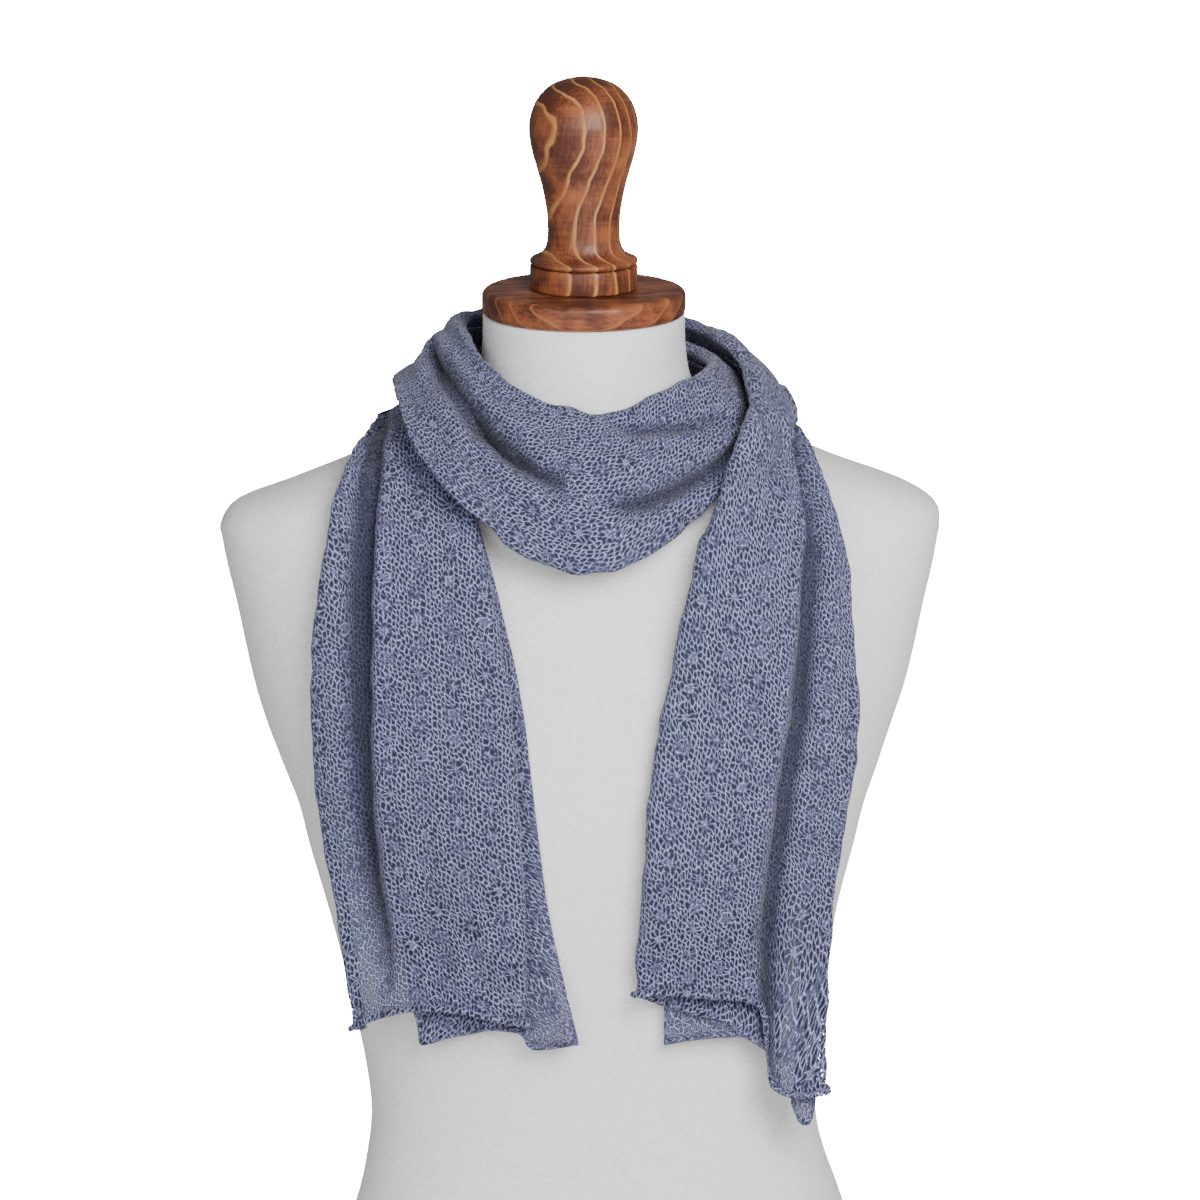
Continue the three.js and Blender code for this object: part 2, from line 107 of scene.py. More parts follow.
# Sections of the folded scarf, from the hem at -X to the hem at +X: the face's near and far edges, the
# thickness of the stack, how far the face swells, the width turned under at the far edge, and where the
# third and the fourth layers end, as shares of the width from the near edge.
SCARF = table((
    "nearX", "nearY", "nearZ", "farX", "farY", "farZ", "thick", "crown", "turn", "mid", "last",
), (
    (-31, -104, 202, -120, -84, 200, 12, 1, 6, 0.63, -0.29),
    (-30.5, -107, 256, -128, -84, 258, 15, 1, 6, 0.72, -0.11),
    (-34, -111, 316, -137, -84, 316, 15, 2, 6, 0.84, -0.055),
    (-38, -110, 370, -139, -84, 370, 15, 3, 6, 0.88, -0.03),
    (-46, -105, 419, -136, -82, 420, 15, 3, 8, 0.9, -0.01),
    (-53, -94, 456, -129, -72, 459, 13, 3, 10, 0.9, 0.01),
    (-60, -74, 487, -122, -50, 484, 10, 2, 12, 0.9, 0.03),
    (-63, -46, 511, -115, -24, 500, 9, 2, 13, 0.93, 0.12),
    (-63, -13, 527, -109, 7, 507, 9, 2, 13, 0.93, 0.12),
    (-58, 22, 540, -100, 40, 499, 9, 2, 13, 0.93, 0.12),
    (-38, 48, 547, -68, 72, 489, 9, 2, 13, 0.93, 0.12),
    (0, 59, 550, 0, 86, 484, 9, 2, 13, 0.93, 0.12),
    (38, 48, 548, 68, 72, 488, 9, 2, 13, 0.93, 0.12),
    (60, 20, 544, 94, 38, 497, 9, 3, 13, 0.93, 0.12),
    (69, -12, 539, 99, 2, 501, 10, 4, 13, 0.93, 0.12),
    (60, -44, 535, 88, -42, 491, 11, 7, 13, 0.93, 0.12),
    (37, -62, 526, 65, -76, 469, 12, 9, 14, 0.93, 0.12),
    (14, -69, 517, 33, -100, 447, 12, 11, 15, 0.93, 0.12),
    (-7, -68, 520, 0, -107, 439, 12, 11, 15, 0.93, 0.12),
    (-29, -60, 527, -31, -105, 449, 12, 10, 15, 0.93, 0.12),
    (-48, -40, 543, -61, -94, 469, 12, 7, 14, 0.93, 0.12),
    (-61, -14, 556, -83, -72, 492, 12, 5, 13, 0.93, 0.12),
    (-67, 12, 560, -95, -40, 513, 12, 6, 13, 0.93, 0.12),
    (-64, 35, 561, -93, 3, 515, 11, 6, 13, 0.93, 0.12),
    (-47, 56, 563, -88, 46, 505, 10, 3, 13, 0.93, 0.12),
    (-20, 68, 564, -55, 88, 486, 10, 3, 13, 0.93, 0.12),
    (12, 71, 564, 12, 99, 480, 10, 3, 13, 0.93, 0.12),
    (43, 57, 561, 68, 80, 490, 10, 3, 13, 0.93, 0.2),
    (62, 32, 553, 92, 43, 504, 10, 3, 13, 0.93, 0.28),
    (70, 3, 543, 95, 6, 508, 10, 3, 13, 0.88, 0.3),
    (79, -25, 530, 101, -22, 490, 11, 3, 13, 0.85, 0.3),
    (81, -59, 512, 118, -47, 467, 12, 3, 13, 0.82, 0.28),
    (75, -84, 491, 133, -68, 442, 12, 3, 14, 0.8, 0.22),
    (62, -98, 456.5, 137.5, -80, 412, 14, 3, 15, 0.78, 0.15),
    (52, -108, 416.5, 141, -89, 380, 15, 3, 15, 0.78, 0.15),
    (43, -109, 374, 141, -88, 345, 15, 3, 15, 0.78, 0.16),
    (35.5, -111, 333, 136, -88, 312, 15, 3, 15, 0.78, 0.16),
    (32, -110, 290, 131, -87, 277, 15, 3, 16, 0.78, 0.16),
    (29, -106, 250, 127.5, -84, 240, 14, 2, 16, 0.78, 0.16),
    (28, -104, 213, 125.5, -84, 208, 12, 2, 17, 0.78, 0.16),
))
LAST_ROW = len(SCARF["nearX"]) - 1
ROWS_PER_TURN = 10  # a stretch rides over what lies this many rows or more before it

# Long folds in the face. Each has its two end rows, three places across the face as shares of its width
# from the near edge, its height, which is below 0 for a trough, and its half width.
FOLDS = (
    # where the outer part of the left tail falls behind its flat panel
    (0.2, 8, 0.78, 0.74, 0.92, -10, 6),
    (2.5, 7.4, 0.74, 0.76, 0.86, -5, 6),
    (0.2, 6.5, 0.76, 0.68, 0.62, 1.5, 6),
    # behind the neck
    (8, 14.5, 0.5, 0.55, 0.45, -4, 8),
    # from the right of the loop towards its middle
    (14.6, 17.6, 0.92, 0.76, 0.62, -7, 6),
    (15.1, 17.3, 0.54, 0.3, 0.05, -5, 5),
    (15.8, 19, 0.62, 0.6, 0.52, -3, 9),
    # the deep fold at the left of the loop
    (18.2, 22.4, 0.5, 0.45, 0.4, -11, 8),
    (23, 29.5, 0.42, 0.5, 0.48, -4, 9),
    # beside the roll along the right tail
    (29.4, 39.8, 0.85, 0.68, 0.71, -9, 6),
    (31, 39.8, 0.88, 0.84, 0.86, 2, 6),
)

# How far each hem hangs below its last section, against the place across the folded cloth.
LEFT_HEM = table(("place", "drop"), (
    (0, 2), (1, 3), (1.2, -5), (1.4, -10), (1.6, -9.5), (1.8, -6), (2, -2), (2.3, 1.5), (2.7, 7), (3, 11),
    (3.3, 3), (3.66, 4), (3.72, 12), (4, 9),
))
RIGHT_HEM = table(("place", "drop"), (
    (0, 50), (0.25, 60), (0.6, 61), (0.75, 54), (0.9, 42), (1.05, 44), (1.3, 41), (1.38, -1), (1.6, -7),
    (1.84, -9), (2, -6), (2.3, 2), (2.56, 7), (2.66, 14), (3, 27), (3.2, 22), (3.35, 16), (3.7, 17),
    (4, 20.5),
))

# The stretches of the scarf: the rows each runs between, its flat length in metres and what it rests on.
STRETCHES = {
    "left_tail": (0, 8, 0.37, ["dress_form_body"]),
    "inner_nape_wrap": (8, 14, 0.26, ["dress_form_body"]),
    "front_loop": (14, 22.5, 0.31, ["dress_form_body", "left_tail"]),
    "outer_nape_wrap": (22.5, 29, 0.27, ["inner_nape_wrap"]),
    "right_tail": (29, 39, 0.39, ["front_loop", "dress_form_body"]),
}


def between(rows, at, column):
    """A smooth value of a column at row numbers that may be fractions."""
    values = rows[column]
    last = len(values) - 1
    at = np.clip(at, 0, last)
    i = np.minimum(np.floor(at).astype(int), last - 1)
    s = at - i
    ends = np.concatenate(([2 * values[0] - values[1]], values, [2 * values[-1] - values[-2]]))
    a, b, c, d = (ends[i + k] for k in range(4))
    return b + 0.5 * s * (c - a + s * (2 * a - 5 * b + 4 * c - d + s * (3 * (b - c) + d - a)))


def row_at(rows, column, value):
    """The row number, as a fraction, where a rising column has this value."""
    return np.interp(value, rows[column], np.arange(len(rows[column])))


def dot(a, b):
    """Scalar products along the last axis."""
    return (a * b).sum(axis=-1)


def unit(v):
    """Vectors of length 1 along the last axis."""
    return v / np.maximum(np.linalg.norm(v, axis=-1, keepdims=True), 1e-9)


def body_level(p):
    """Below 0 inside the body's outline at its own height, above 0 outside it."""
    at = row_at(BODY, "z", p[..., 2])
    half, front, back, shift, power = (
        between(BODY, at, column) for column in ("half", "front", "back", "shift", "power")
    )
    across = np.abs((p[..., 0] - shift) / half)
    along = np.abs(np.where(p[..., 1] < 0, p[..., 1] / front, p[..., 1] / back))
    return (across**power + along**power) ** (1 / power) - 1


def body_gap(p):
    """Distance of each point from the body, and the way out."""
    probe = 0.5
    steps = np.eye(3) * probe
    out = np.stack([body_level(p + step) - body_level(p - step) for step in steps], axis=-1) / (2 * probe)
    slope = np.linalg.norm(out, axis=-1)
    return body_level(p) / slope, out / slope[..., None]


def clear_of_body(p, clearance):
    """Moves points out until they are clear of the body, gently near that distance."""
    softness = 1.5
    for i in range(3):
        gap, out = body_gap(p)
        short = clearance - gap
        move = 0.5 * (short + np.hypot(short, softness)) if i == 0 else np.maximum(0, short)
        p = p + out * move[..., None]
    return p


def scarf_frame(at):
    """The near edge of the face, the way across it, its width and the way out of it."""

    def edge(side, t):
        return np.stack([between(SCARF, t, side + axis) for axis in "XYZ"], axis=-1)

    step = 0.05
    lo, hi = np.clip(at - step, 0, LAST_ROW), np.clip(at + step, 0, LAST_ROW)
    near = edge("near", at)
    across = edge("far", at) - near
    along = edge("near", hi) + edge("far", hi) - edge("near", lo) - edge("far", lo)
    return near, across, np.linalg.norm(across, axis=-1), unit(np.cross(along, across))


def fold_height(folds, at, share, width):
    """Height of these folds over the face, below 0 in a trough."""
    height = np.zeros_like(at)
    for start_row, end_row, start, middle, end, depth, spread in folds:
        s = (at - start_row) / (end_row - start_row)
        inside = (s > 0) & (s < 1)
        s = np.clip(s, 0, 1)
        centre = start * (1 - s) * (1 - 2 * s) + 4 * middle * s * (1 - s) + end * s * (2 * s - 1)
        away = (share - centre) * width / spread
        height += np.where(inside, depth * np.sqrt(np.sin(math.pi * s)) * np.exp(-away * away), 0)
    return height


FOLD_SHARE = 0.08  # of a place, taken by half a round fold
STACK_SHARES = np.array((0.64, 1, 0.3, 0))  # height of each layer in the stack
PRESSED = np.array((2.2, 4.4, 2.2, 0))  # height of each layer where a trough presses the stack flat
FLAT_STACK = 4.4


def stack_point(at, place, width):
    """Where a place across the cloth lies in the folded stack: its distance from the near edge, its
    height over the lowest layer, and its height where the stack is pressed flat."""
    thick, turn_width, mid, last = (
        between(SCARF, at, column) for column in ("thick", "turn", "mid", "last")
    )
    heights = STACK_SHARES[:, None] * thick
    starts = np.stack((width - turn_width, width, 0 * width, mid * width))
    ends = np.stack((width, 0 * width, mid * width, last * width))
    layer = np.clip(np.floor(place).astype(int), 0, 3)
    pick = np.arange(len(at))
    zero = np.zeros_like(at)
    radius = np.stack((zero, *(np.abs(heights[k] - heights[k - 1]) / 2 for k in (1, 2, 3)), zero))
    outward = np.array((0, 1, -1, 1, 0))
    # flat layers
    first = np.where(layer == 0, 0, FOLD_SHARE)
    final = np.where(layer == 3, 1, 1 - FOLD_SHARE)
    s = (place - layer - first) / (final - first)
    a = starts[layer, pick] - outward[layer] * radius[layer, pick]
    b = ends[layer, pick] - outward[layer + 1] * radius[layer + 1, pick]
    x = a + (b - a) * s
    h = heights[layer, pick]
    pressed = PRESSED[layer]
    # round folds
    fold = np.clip(np.round(place).astype(int), 1, 3)
    inside = np.abs(place - fold) < FOLD_SHARE
    turn = np.clip((place - fold) / FOLD_SHARE, -1, 1) * (math.pi / 2)
    r = radius[fold, pick]
    rise = heights[fold, pick] - heights[fold - 1, pick]
    blend = (1 + np.sin(turn)) / 2
    x = np.where(inside, starts[fold, pick] + outward[fold] * r * (np.cos(turn) - 1), x)
    h = np.where(inside, heights[fold - 1, pick] + rise * blend, h)
    pressed = np.where(inside, PRESSED[fold - 1] * (1 - blend) + PRESSED[fold] * blend, pressed)
    return x, h, pressed


CARRIED_STEP = 0.25
CARRIED_ROWS = np.arange(0, 19.01, CARRIED_STEP)  # rows of the turns that later ones ride over
CARRIED_PLACES = np.array((1.03, 1.15, 1.3, 1.45, 1.6, 1.75, 1.9, 1.97))
CARRY_REACH = 9  # how far round it a sample lifts what lies over it
CARRY_END = 6  # squared reaches past which a sample no longer counts
CARRY_COVER = (0.02, 0.25)  # cover at which the lift starts, and at which it is full
CARRY_DEPTH = 32  # samples further in or out than this don't count
CARRY_CLEAR = 2.5
LEAST_COVER = 1e-6  # below this nothing lies under a point
LIFT_ROUNDS = 2
CLOTH_WALL = 1.6
HEM_ROWS = 3  # rows over which a hem's drop fades out
HEM_FADE = 1.2
carried = {"at": np.zeros(0), "p": np.zeros((0, 3)), "out": np.zeros((0, 3)), "area": np.zeros(0)}


def smooth_step(value, low, high):
    """0 below low, 1 above high, smooth between."""
    s = np.clip((value - low) / (high - low), 0, 1)
    return s * s * (3 - 2 * s)


def clear_of_scarf(p, at, clearance):
    """Lifts points over the earlier turns of the scarf where they lie under them."""
    riding = np.nonzero(at >= ROWS_PER_TURN)[0]
    block = 4000
    for start in range(0, len(riding), block):
        some = riding[start : start + block]
        under = carried["at"][None, :] <= at[some, None] - ROWS_PER_TURN
        q = p[some]
        for _ in range(LIFT_ROUNDS):
            away = q[:, None, :] - carried["p"][None]
            height = dot(away, carried["out"][None])
            reach = (dot(away, away) - height * height) / CARRY_REACH**2
            near = under & (reach <= CARRY_END) & (np.abs(height) <= CARRY_DEPTH)
            weight = np.where(near, np.exp(-np.minimum(reach, CARRY_END)), 0) * carried["area"]
            cover = weight.sum(axis=1)
            found = cover > LEAST_COVER
            safe = np.where(found, cover, 1)[:, None]
            middle = weight @ carried["p"] / safe
            out = unit(weight @ carried["out"])
            covered = smooth_step(cover / (math.pi * CARRY_REACH**2), *CARRY_COVER)
            short = np.maximum(0, clearance[some] - dot(q - middle, out))
            q = q + out * (np.where(found, short * covered, 0))[:, None]
        p[some] = q
    return p


def lay_carried_rows():
    """Samples of the face of the earlier rows, in order, since later ones ride over earlier ones."""
    for key in carried:
        carried[key] = carried[key][:0]
    probe = 0.1
    places = CARRIED_PLACES
    reach = (np.append(places[1:], places[-1]) - np.append(places[0], places[:-1])) / 2
    for at in CARRIED_ROWS:
        rows = np.full(len(places), at)
        p, out = cloth_surface(rows, places, folded=False)
        width = scarf_frame(rows)[2] * reach
        before = cloth_points(np.maximum(rows - probe, 0), places)
        step = np.linalg.norm(cloth_points(rows + probe, places) - before, axis=-1)
        area = width * step * CARRIED_STEP / min(2 * probe, at + probe)
        for key, value in (("at", rows), ("p", p), ("out", out), ("area", area)):
            carried[key] = np.concatenate((carried[key], value))


def cloth_points(at, place, folded=True, extra=()):
    """Points of the cloth's middle surface, with its folds or bridging them."""
    at = np.clip(at, 0, LAST_ROW)
    place = np.clip(place, 0, 4)
    near, across, width, out = scarf_frame(at)
    x, h, pressed = stack_point(at, place, width)
    share = x / width
    inside = np.clip(share, 0, 1)
    thick = between(SCARF, at, "thick")
    fold = fold_height(FOLDS + tuple(extra), at, share, width) if folded else 0 * at
    press = np.maximum(fold, FLAT_STACK - thick)
    squashed = pressed + (h - pressed) * (1 + press / (thick - FLAT_STACK))
    height = np.where(press < 0, squashed, h + press * h / thick)
    swell = 4 * inside * (1 - inside) * between(SCARF, at, "crown") + fold - press
    p = near + across * share[:, None] + out * (height - thick + swell)[:, None]
    p = clear_of_body(p, LIFT + CLOTH_WALL / 2 + height)
    p = clear_of_scarf(p, at, CARRY_CLEAR + CLOTH_WALL + height)
    for rows, away in ((LEFT_HEM, at), (RIGHT_HEM, LAST_ROW - at)):
        drop = between(rows, row_at(rows, "place", place), "drop")
        p[:, 2] -= np.where(away < HEM_ROWS, drop * np.exp(-HEM_FADE * away * away), 0)
    return p


def cloth_surface(at, place, folded=True):
    """Points of the cloth and the way out of it there."""
    probe = 0.012
    across = cloth_points(at, place + probe, folded) - cloth_points(at, place - probe, folded)
    along = cloth_points(at + probe, place, folded) - cloth_points(at - probe, place, folded)
    return cloth_points(at, place, folded), unit(np.cross(across, along))


# Smaller creases, in the same columns as the long folds. Those behind the neck are like the ones in front.
CREASES = (
    # sharp bottoms of the long folds
    (0.2, 8, 0.77, 0.73, 0.91, -6, 3),
    (0.2, 7.2, 0.84, 0.8, 0.92, -6, 5),
    (0.2, 7.6, 0.7, 0.66, 0.84, 2.5, 5),
    (18.2, 22.4, 0.5, 0.45, 0.4, -8, 4),
    (14.6, 17.4, 0.92, 0.76, 0.62, -5, 3),
    (15.1, 17.2, 0.54, 0.3, 0.05, -3.5, 3),
    (29.4, 39.8, 0.85, 0.68, 0.71, -7, 4),
    # the rolls beside them
    (18.2, 22.3, 0.32, 0.28, 0.24, 3, 7),
    (15.2, 17.2, 0.7, 0.56, 0.4, 2.5, 5),
    # left tail
    (0.5, 5.5, 0.2, 0.24, 0.3, -1.2, 7),
    (2.5, 7.8, 0.3, 0.42, 0.48, -1.6, 6),
    (0.1, 2.6, 0.5, 0.46, 0.4, -1.3, 8),
    (4.8, 8, 0.1, 0.18, 0.24, -1.8, 5),
    (0.1, 1.8, 0.12, 0.16, 0.2, 1.2, 7),
    # inner wrap behind the neck
    (8, 11, 0.2, 0.28, 0.3, -1.6, 6),
    (10.5, 14, 0.75, 0.8, 0.78, -1.8, 7),
    # loop
    (14.2, 16.6, 0.25, 0.2, 0.12, -2.2, 5),
    (14.4, 16.2, 0.72, 0.62, 0.5, -2.4, 5),
    (16.2, 18.6, 0.3, 0.26, 0.2, -1.5, 7),
    (16.5, 20.5, 0.8, 0.82, 0.84, -1.4, 8),
    (19, 22.2, 0.7, 0.72, 0.72, -2.2, 6),
    (19.8, 23, 0.22, 0.2, 0.2, -2, 5),
    (20.4, 22.6, 0.86, 0.84, 0.82, -1.6, 5),
    # outer wrap behind the neck
    (22.8, 26, 0.7, 0.76, 0.78, -2.2, 6),
    (24, 28.8, 0.2, 0.22, 0.2, -2, 6),
    (26.5, 30, 0.74, 0.72, 0.7, -2.4, 7),
    # right tail
    (30, 33.5, 0.3, 0.34, 0.4, -2.2, 6),
    (31.2, 38, 0.18, 0.22, 0.3, -1.2, 8),
    (33.5, 39.5, 0.5, 0.44, 0.4, -1.4, 8),
    (30.4, 34, 0.6, 0.56, 0.5, -1.8, 5),
    (36.5, 39.9, 0.62, 0.6, 0.56, -1.4, 5),
)


class Wire:
    """An output socket in a material's node tree, so that its maths reads as Python."""

    def __init__(self, finish, socket):
        self.finish = finish
        self.socket = socket

    def maths(self, operation, *others):
        inputs = dict(enumerate((self, *others)))
        return self.finish.node("ShaderNodeMath", {"operation": operation}, inputs)

    def __add__(self, other):
        return self.maths("ADD", other)

    __radd__ = __add__

    def __sub__(self, other):
        return self.maths("SUBTRACT", other)

    def __rsub__(self, other):
        return (self * -1).maths("ADD", other)

    def __mul__(self, other):
        return self.maths("MULTIPLY", other)

    __rmul__ = __mul__

    def __truediv__(self, other):
        return self.maths("DIVIDE", other)

    def fraction(self):
        return self.maths("FRACT")

    def floor(self):
        return self.maths("FLOOR")

    def least(self, other):
        return self.maths("MINIMUM", other)

    def most(self, other):
        return self.maths("MAXIMUM", other)

    def rises(self, low, high):
        """0 below low, 1 above high, smooth between."""
        settings = {"interpolation_type": "SMOOTHSTEP"}
        return self.finish.node("ShaderNodeMapRange", settings, {0: self, 1: low, 2: high})


class Finish:
    """A material with one Principled shader, and short ways to add nodes to it."""

    def __init__(self, name, **constants):
        self.material = bpy.data.materials.new(name)
        self.material.use_nodes = True
        self.tree = self.material.node_tree
        self.shader = self.tree.nodes["Principled BSDF"]
        for socket, value in constants.items():
            self.shader.inputs[socket.replace("_", " ")].default_value = value

    def node(self, kind, settings=None, inputs=None, output=0):
        """Adds a node, and returns one of its outputs."""
        node = self.tree.nodes.new(kind)
        for key, value in (settings or {}).items():
            setattr(node, key, value)
        for key, value in (inputs or {}).items():
            socket = node.inputs[key]
            if isinstance(value, Wire):
                self.tree.links.new(value.socket, socket)
            elif isinstance(value, tuple) and len(value) == 3 and socket.type == "RGBA":
                socket.default_value = (*value, 1)
            else:
                socket.default_value = value
        return Wire(self, node.outputs[output])

    def feed(self, socket, wire):
        """Links a wire to a socket of the shader."""
        self.tree.links.new(wire.socket, self.shader.inputs[socket])

    def split(self, wire, axis):
        return self.node("ShaderNodeSeparateXYZ", None, {0: wire}, axis)

    def along(self, noise, reach, place):
        """The place moved by a colour noise, up to half this reach each way."""
        even = (0.5, 0.5, 0.5)
        middle = self.node("ShaderNodeVectorMath", {"operation": "SUBTRACT"}, {0: noise, 1: even})
        inputs = {0: middle, 1: reach, 2: place}
        return self.node("ShaderNodeVectorMath", {"operation": "MULTIPLY_ADD"}, inputs)

    def noise(self, where, scale, detail, flat=False, colour=False):
        """A noise as one value, or as a colour. A flat one reads two axes only."""
        settings = {"noise_dimensions": "2D"} if flat else None
        inputs = {"Vector": where, "Scale": scale, "Detail": detail}
        return self.node("ShaderNodeTexNoise", settings, inputs, 1 if colour else 0)

    def attribute(self, name):
        """A number kept at each vertex of the piece."""
        return self.node("ShaderNodeAttribute", {"attribute_name": name}, output=2)

    def colour_mix(self, factor, first, second):
        settings = {"data_type": "RGBA"}
        return self.node("ShaderNodeMix", settings, {0: factor, 6: first, 7: second}, output=2)

    def bump(self, height, distance, strength=1.0):
        inputs = {"Strength": strength, "Distance": distance, "Height": height}
        self.feed("Normal", self.node("ShaderNodeBump", None, inputs))


FAN_WIDE = 17.4  # share of the cloth that one fan of strands has
FAN_TALL = 13.8
FAN_STRANDS = 9
STRAND_LENGTH = 4.2
FAN_END = (3.8, 5.4)  # distance from its centre over which a fan gives way to the net
NET_UNEVEN = 0.62  # how far the stitches stray from even rows
HOLE_START = (0.2, 0.28)  # distance from the middle of the yarn, in stitches, over which a hole opens


def knit_finish(look):
    """Lace knit: a net of oval holes ringed by yarn with a painted highlight along its middle, with fans of
    strands set among them, and painted shade in the troughs and in the closed holes. Its pattern is in
    millimetres of flat cloth."""
    finish = Finish("lace_knit", Roughness=0.95)
    finish.shader.inputs["Sheen Weight"].default_value = 0.15
    finish.shader.inputs["Sheen Roughness"].default_value = 0.5
    finish.shader.inputs["Specular IOR Level"].default_value = 0.15
    where = finish.node("ShaderNodeUVMap", {"uv_map": "cloth"})
    shifted = finish.along(finish.noise(where, 0.16, 2.0, flat=True, colour=True), (3.0, 3.0, 0.0), where)
    u, v = finish.split(shifted, 0), finish.split(shifted, 1)

    def cells(across, along, uneven):
        """Distance from the border of uneven cells, 0 on the border."""
        place = finish.node("ShaderNodeCombineXYZ", None, {0: across, 1: along})
        settings = {"voronoi_dimensions": "2D", "feature": "DISTANCE_TO_EDGE"}
        inputs = {"Vector": place, "Scale": 1.0, "Randomness": uneven}
        return finish.node("ShaderNodeTexVoronoi", settings, inputs)

    # the net: one hole for each stitch
    across = u / (look.wale / MM)
    net = cells(across, v / (look.course / MM) + across * 0.5, NET_UNEVEN)

    # the fans: strands that spread from a centre, stronger in some than in others
    column = (u / FAN_WIDE).floor()
    rise = v / FAN_TALL + column * 0.5
    fan = finish.node("ShaderNodeCombineXYZ", None, {0: column, 1: rise.floor()})
    chance = finish.node("ShaderNodeTexWhiteNoise", {"noise_dimensions": "2D"}, {"Vector": fan})
    x = ((u / FAN_WIDE).fraction() - 0.5) * FAN_WIDE
    y = (rise.fraction() - 0.5) * FAN_TALL
    reach = (x * x + y * y).maths("SQRT")
    turn = y.maths("ARCTAN2", x) * (FAN_STRANDS / (2 * math.pi))
    strands = cells(turn, reach * (1 / STRAND_LENGTH) + chance * 7.0, 0.5)
    strands = strands * (reach * 0.36).least(1.1)
    in_fan = (1.0 - reach.rises(*FAN_END)) * (0.4 + 0.6 * chance)

    # the holes, closed along the edges of the cloth, and closed and filled with painted shade where other
    # turns lie behind them
    fine = finish.noise(where, 1.6, 3.0, flat=True)
    gap = net * (1.0 - in_fan) + strands * in_fan + (0.5 - fine) * 0.12
    hole = (gap - finish.attribute("edge") * 0.3).rises(*HOLE_START)
    finish.feed("Alpha", 1.0 - hole * 0.95 * (1.0 - finish.attribute("shaded_holes")))

    # the yarn: a painted highlight along the middle of each strand, painted shade in the holes and the
    # troughs
    broad = finish.noise(where, 0.07, 3.0, flat=True)
    strand = 1.0 - gap.rises(0.02, 0.12)
    centre = 1.0 - in_fan * (1.0 - reach.rises(0.8, 2.4)) * 0.6
    tone = strand * (0.85 + (fine - 0.5) * 2.0) * centre + (broad - 0.5) * 0.5
    shade = finish.colour_mix(gap.rises(0.13, 0.26), tuple(look.yarn), tuple(look.yarn_shade))
    # painted highlight along the middle of each strand
    colour = finish.colour_mix(tone.rises(0.0, 1.0), shade, tuple(look.yarn_highlight))
    # painted shade: darker in the troughs, and in the holes where they are closed
    dark = (finish.attribute("crease_shade").rises(0.05, 0.9) * 0.85).most(hole * 0.95)
    deep = tuple(0.6 * level for level in look.yarn_shade)
    finish.feed("Base Color", finish.colour_mix(dark, colour, deep))
    finish.bump(strand, 0.0004, 0.8)
    return finish.material


def jersey_finish(look):
    """Pale jersey with a fine weave that runs round the form."""
    finish = Finish("cream_jersey", Roughness=0.9)
    finish.shader.inputs["Sheen Weight"].default_value = 0.15
    finish.shader.inputs["Specular IOR Level"].default_value = 0.25
    where = finish.node("ShaderNodeTexCoord", output=3)
    ribbed = finish.node("ShaderNodeMapping", None, {"Vector": where, "Scale": (0.4, 0.4, 1.0)})
    weave = finish.noise(ribbed, 900.0, 3.0)
    dark = tuple(0.86 * level for level in look.jersey)
    finish.feed("Base Color", finish.colour_mix(weave.rises(0.3, 0.65), dark, tuple(look.jersey)))
    finish.bump(weave, 0.0002, 0.5)
    return finish.material


def wood_finish(look, name, turn, heart, phase, lines):
    """Reddish wood: year rings about a line, thin golden lines and fine dark fibres. The line is upright
    once the wood is turned by three angles, and passes through heart. Phase moves the rings in or out,
    and lines says how strongly they show."""
    finish = Finish(name, Roughness=0.5)
    finish.shader.inputs["Coat Weight"].default_value = 0.12
    finish.shader.inputs["Coat Roughness"].default_value = 0.2
    finish.shader.inputs["Specular IOR Level"].default_value = 0.25
    where = finish.node("ShaderNodeTexCoord", output=3)
    start = tuple(-MM * value for value in heart)
    moved = finish.node("ShaderNodeMapping", None, {"Vector": where, "Location": start})
    placed = finish.node("ShaderNodeMapping", None, {"Vector": moved, "Rotation": turn})

    # the year rings, bent a little
    warped = finish.along(finish.noise(placed, 20.0, 3.0, colour=True), (0.014, 0.014, 0.0), placed)
    x, y = finish.split(warped, 0), finish.split(warped, 1)
    ring = ((x * x + y * y).maths("SQRT") * (1 / look.ring_gap) + phase).fraction()
    line = 1.0 - ring.rises(0.03, 0.22) * (1.0 - ring.rises(0.92, 1.0))

    # fibres along the wood, and the lathe's marks across it
    stretched = finish.node("ShaderNodeMapping", None, {"Vector": placed, "Scale": (1.0, 1.0, 0.06)})
    fibre = finish.noise(stretched, 1000.0, 3.0)
    crossed = finish.node("ShaderNodeMapping", None, {"Vector": where, "Scale": (0.04, 0.04, 1.0)})
    turning = finish.noise(crossed, 900.0, 2.0)
    grain = (fibre - 0.5) * 1.3 + (turning - 0.5) * 0.7

    # the colours: red to dark, with gold on the rings
    blotch = finish.noise(warped, 42.0, 4.0)
    late = ring * 0.3 + (blotch - 0.5) * 2.6 + grain * 0.8 + 0.42
    red = finish.colour_mix(late.rises(0.0, 1.0), tuple(look.wood_red), tuple(look.wood_dark))
    gold = line * (0.35 + 0.65 * blotch.rises(0.38, 0.6)) * lines + (0.5 - blotch) * 1.1 + grain * 0.35
    finish.feed("Base Color", finish.colour_mix(gold.rises(0.05, 1.0), red, tuple(look.wood_gold)))
    finish.bump(fibre, 0.0001, 0.3)
    return finish.material


def add_object(name, mesh_data, material, node):
    """Puts a finished mesh in the scene in place of its CAD node."""
    piece = bpy.data.objects.new(name, mesh_data)
    bpy.context.scene.collection.objects.link(piece)
    mesh_data.materials.append(material)
    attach(piece, "root")
    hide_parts(node)
    return piece


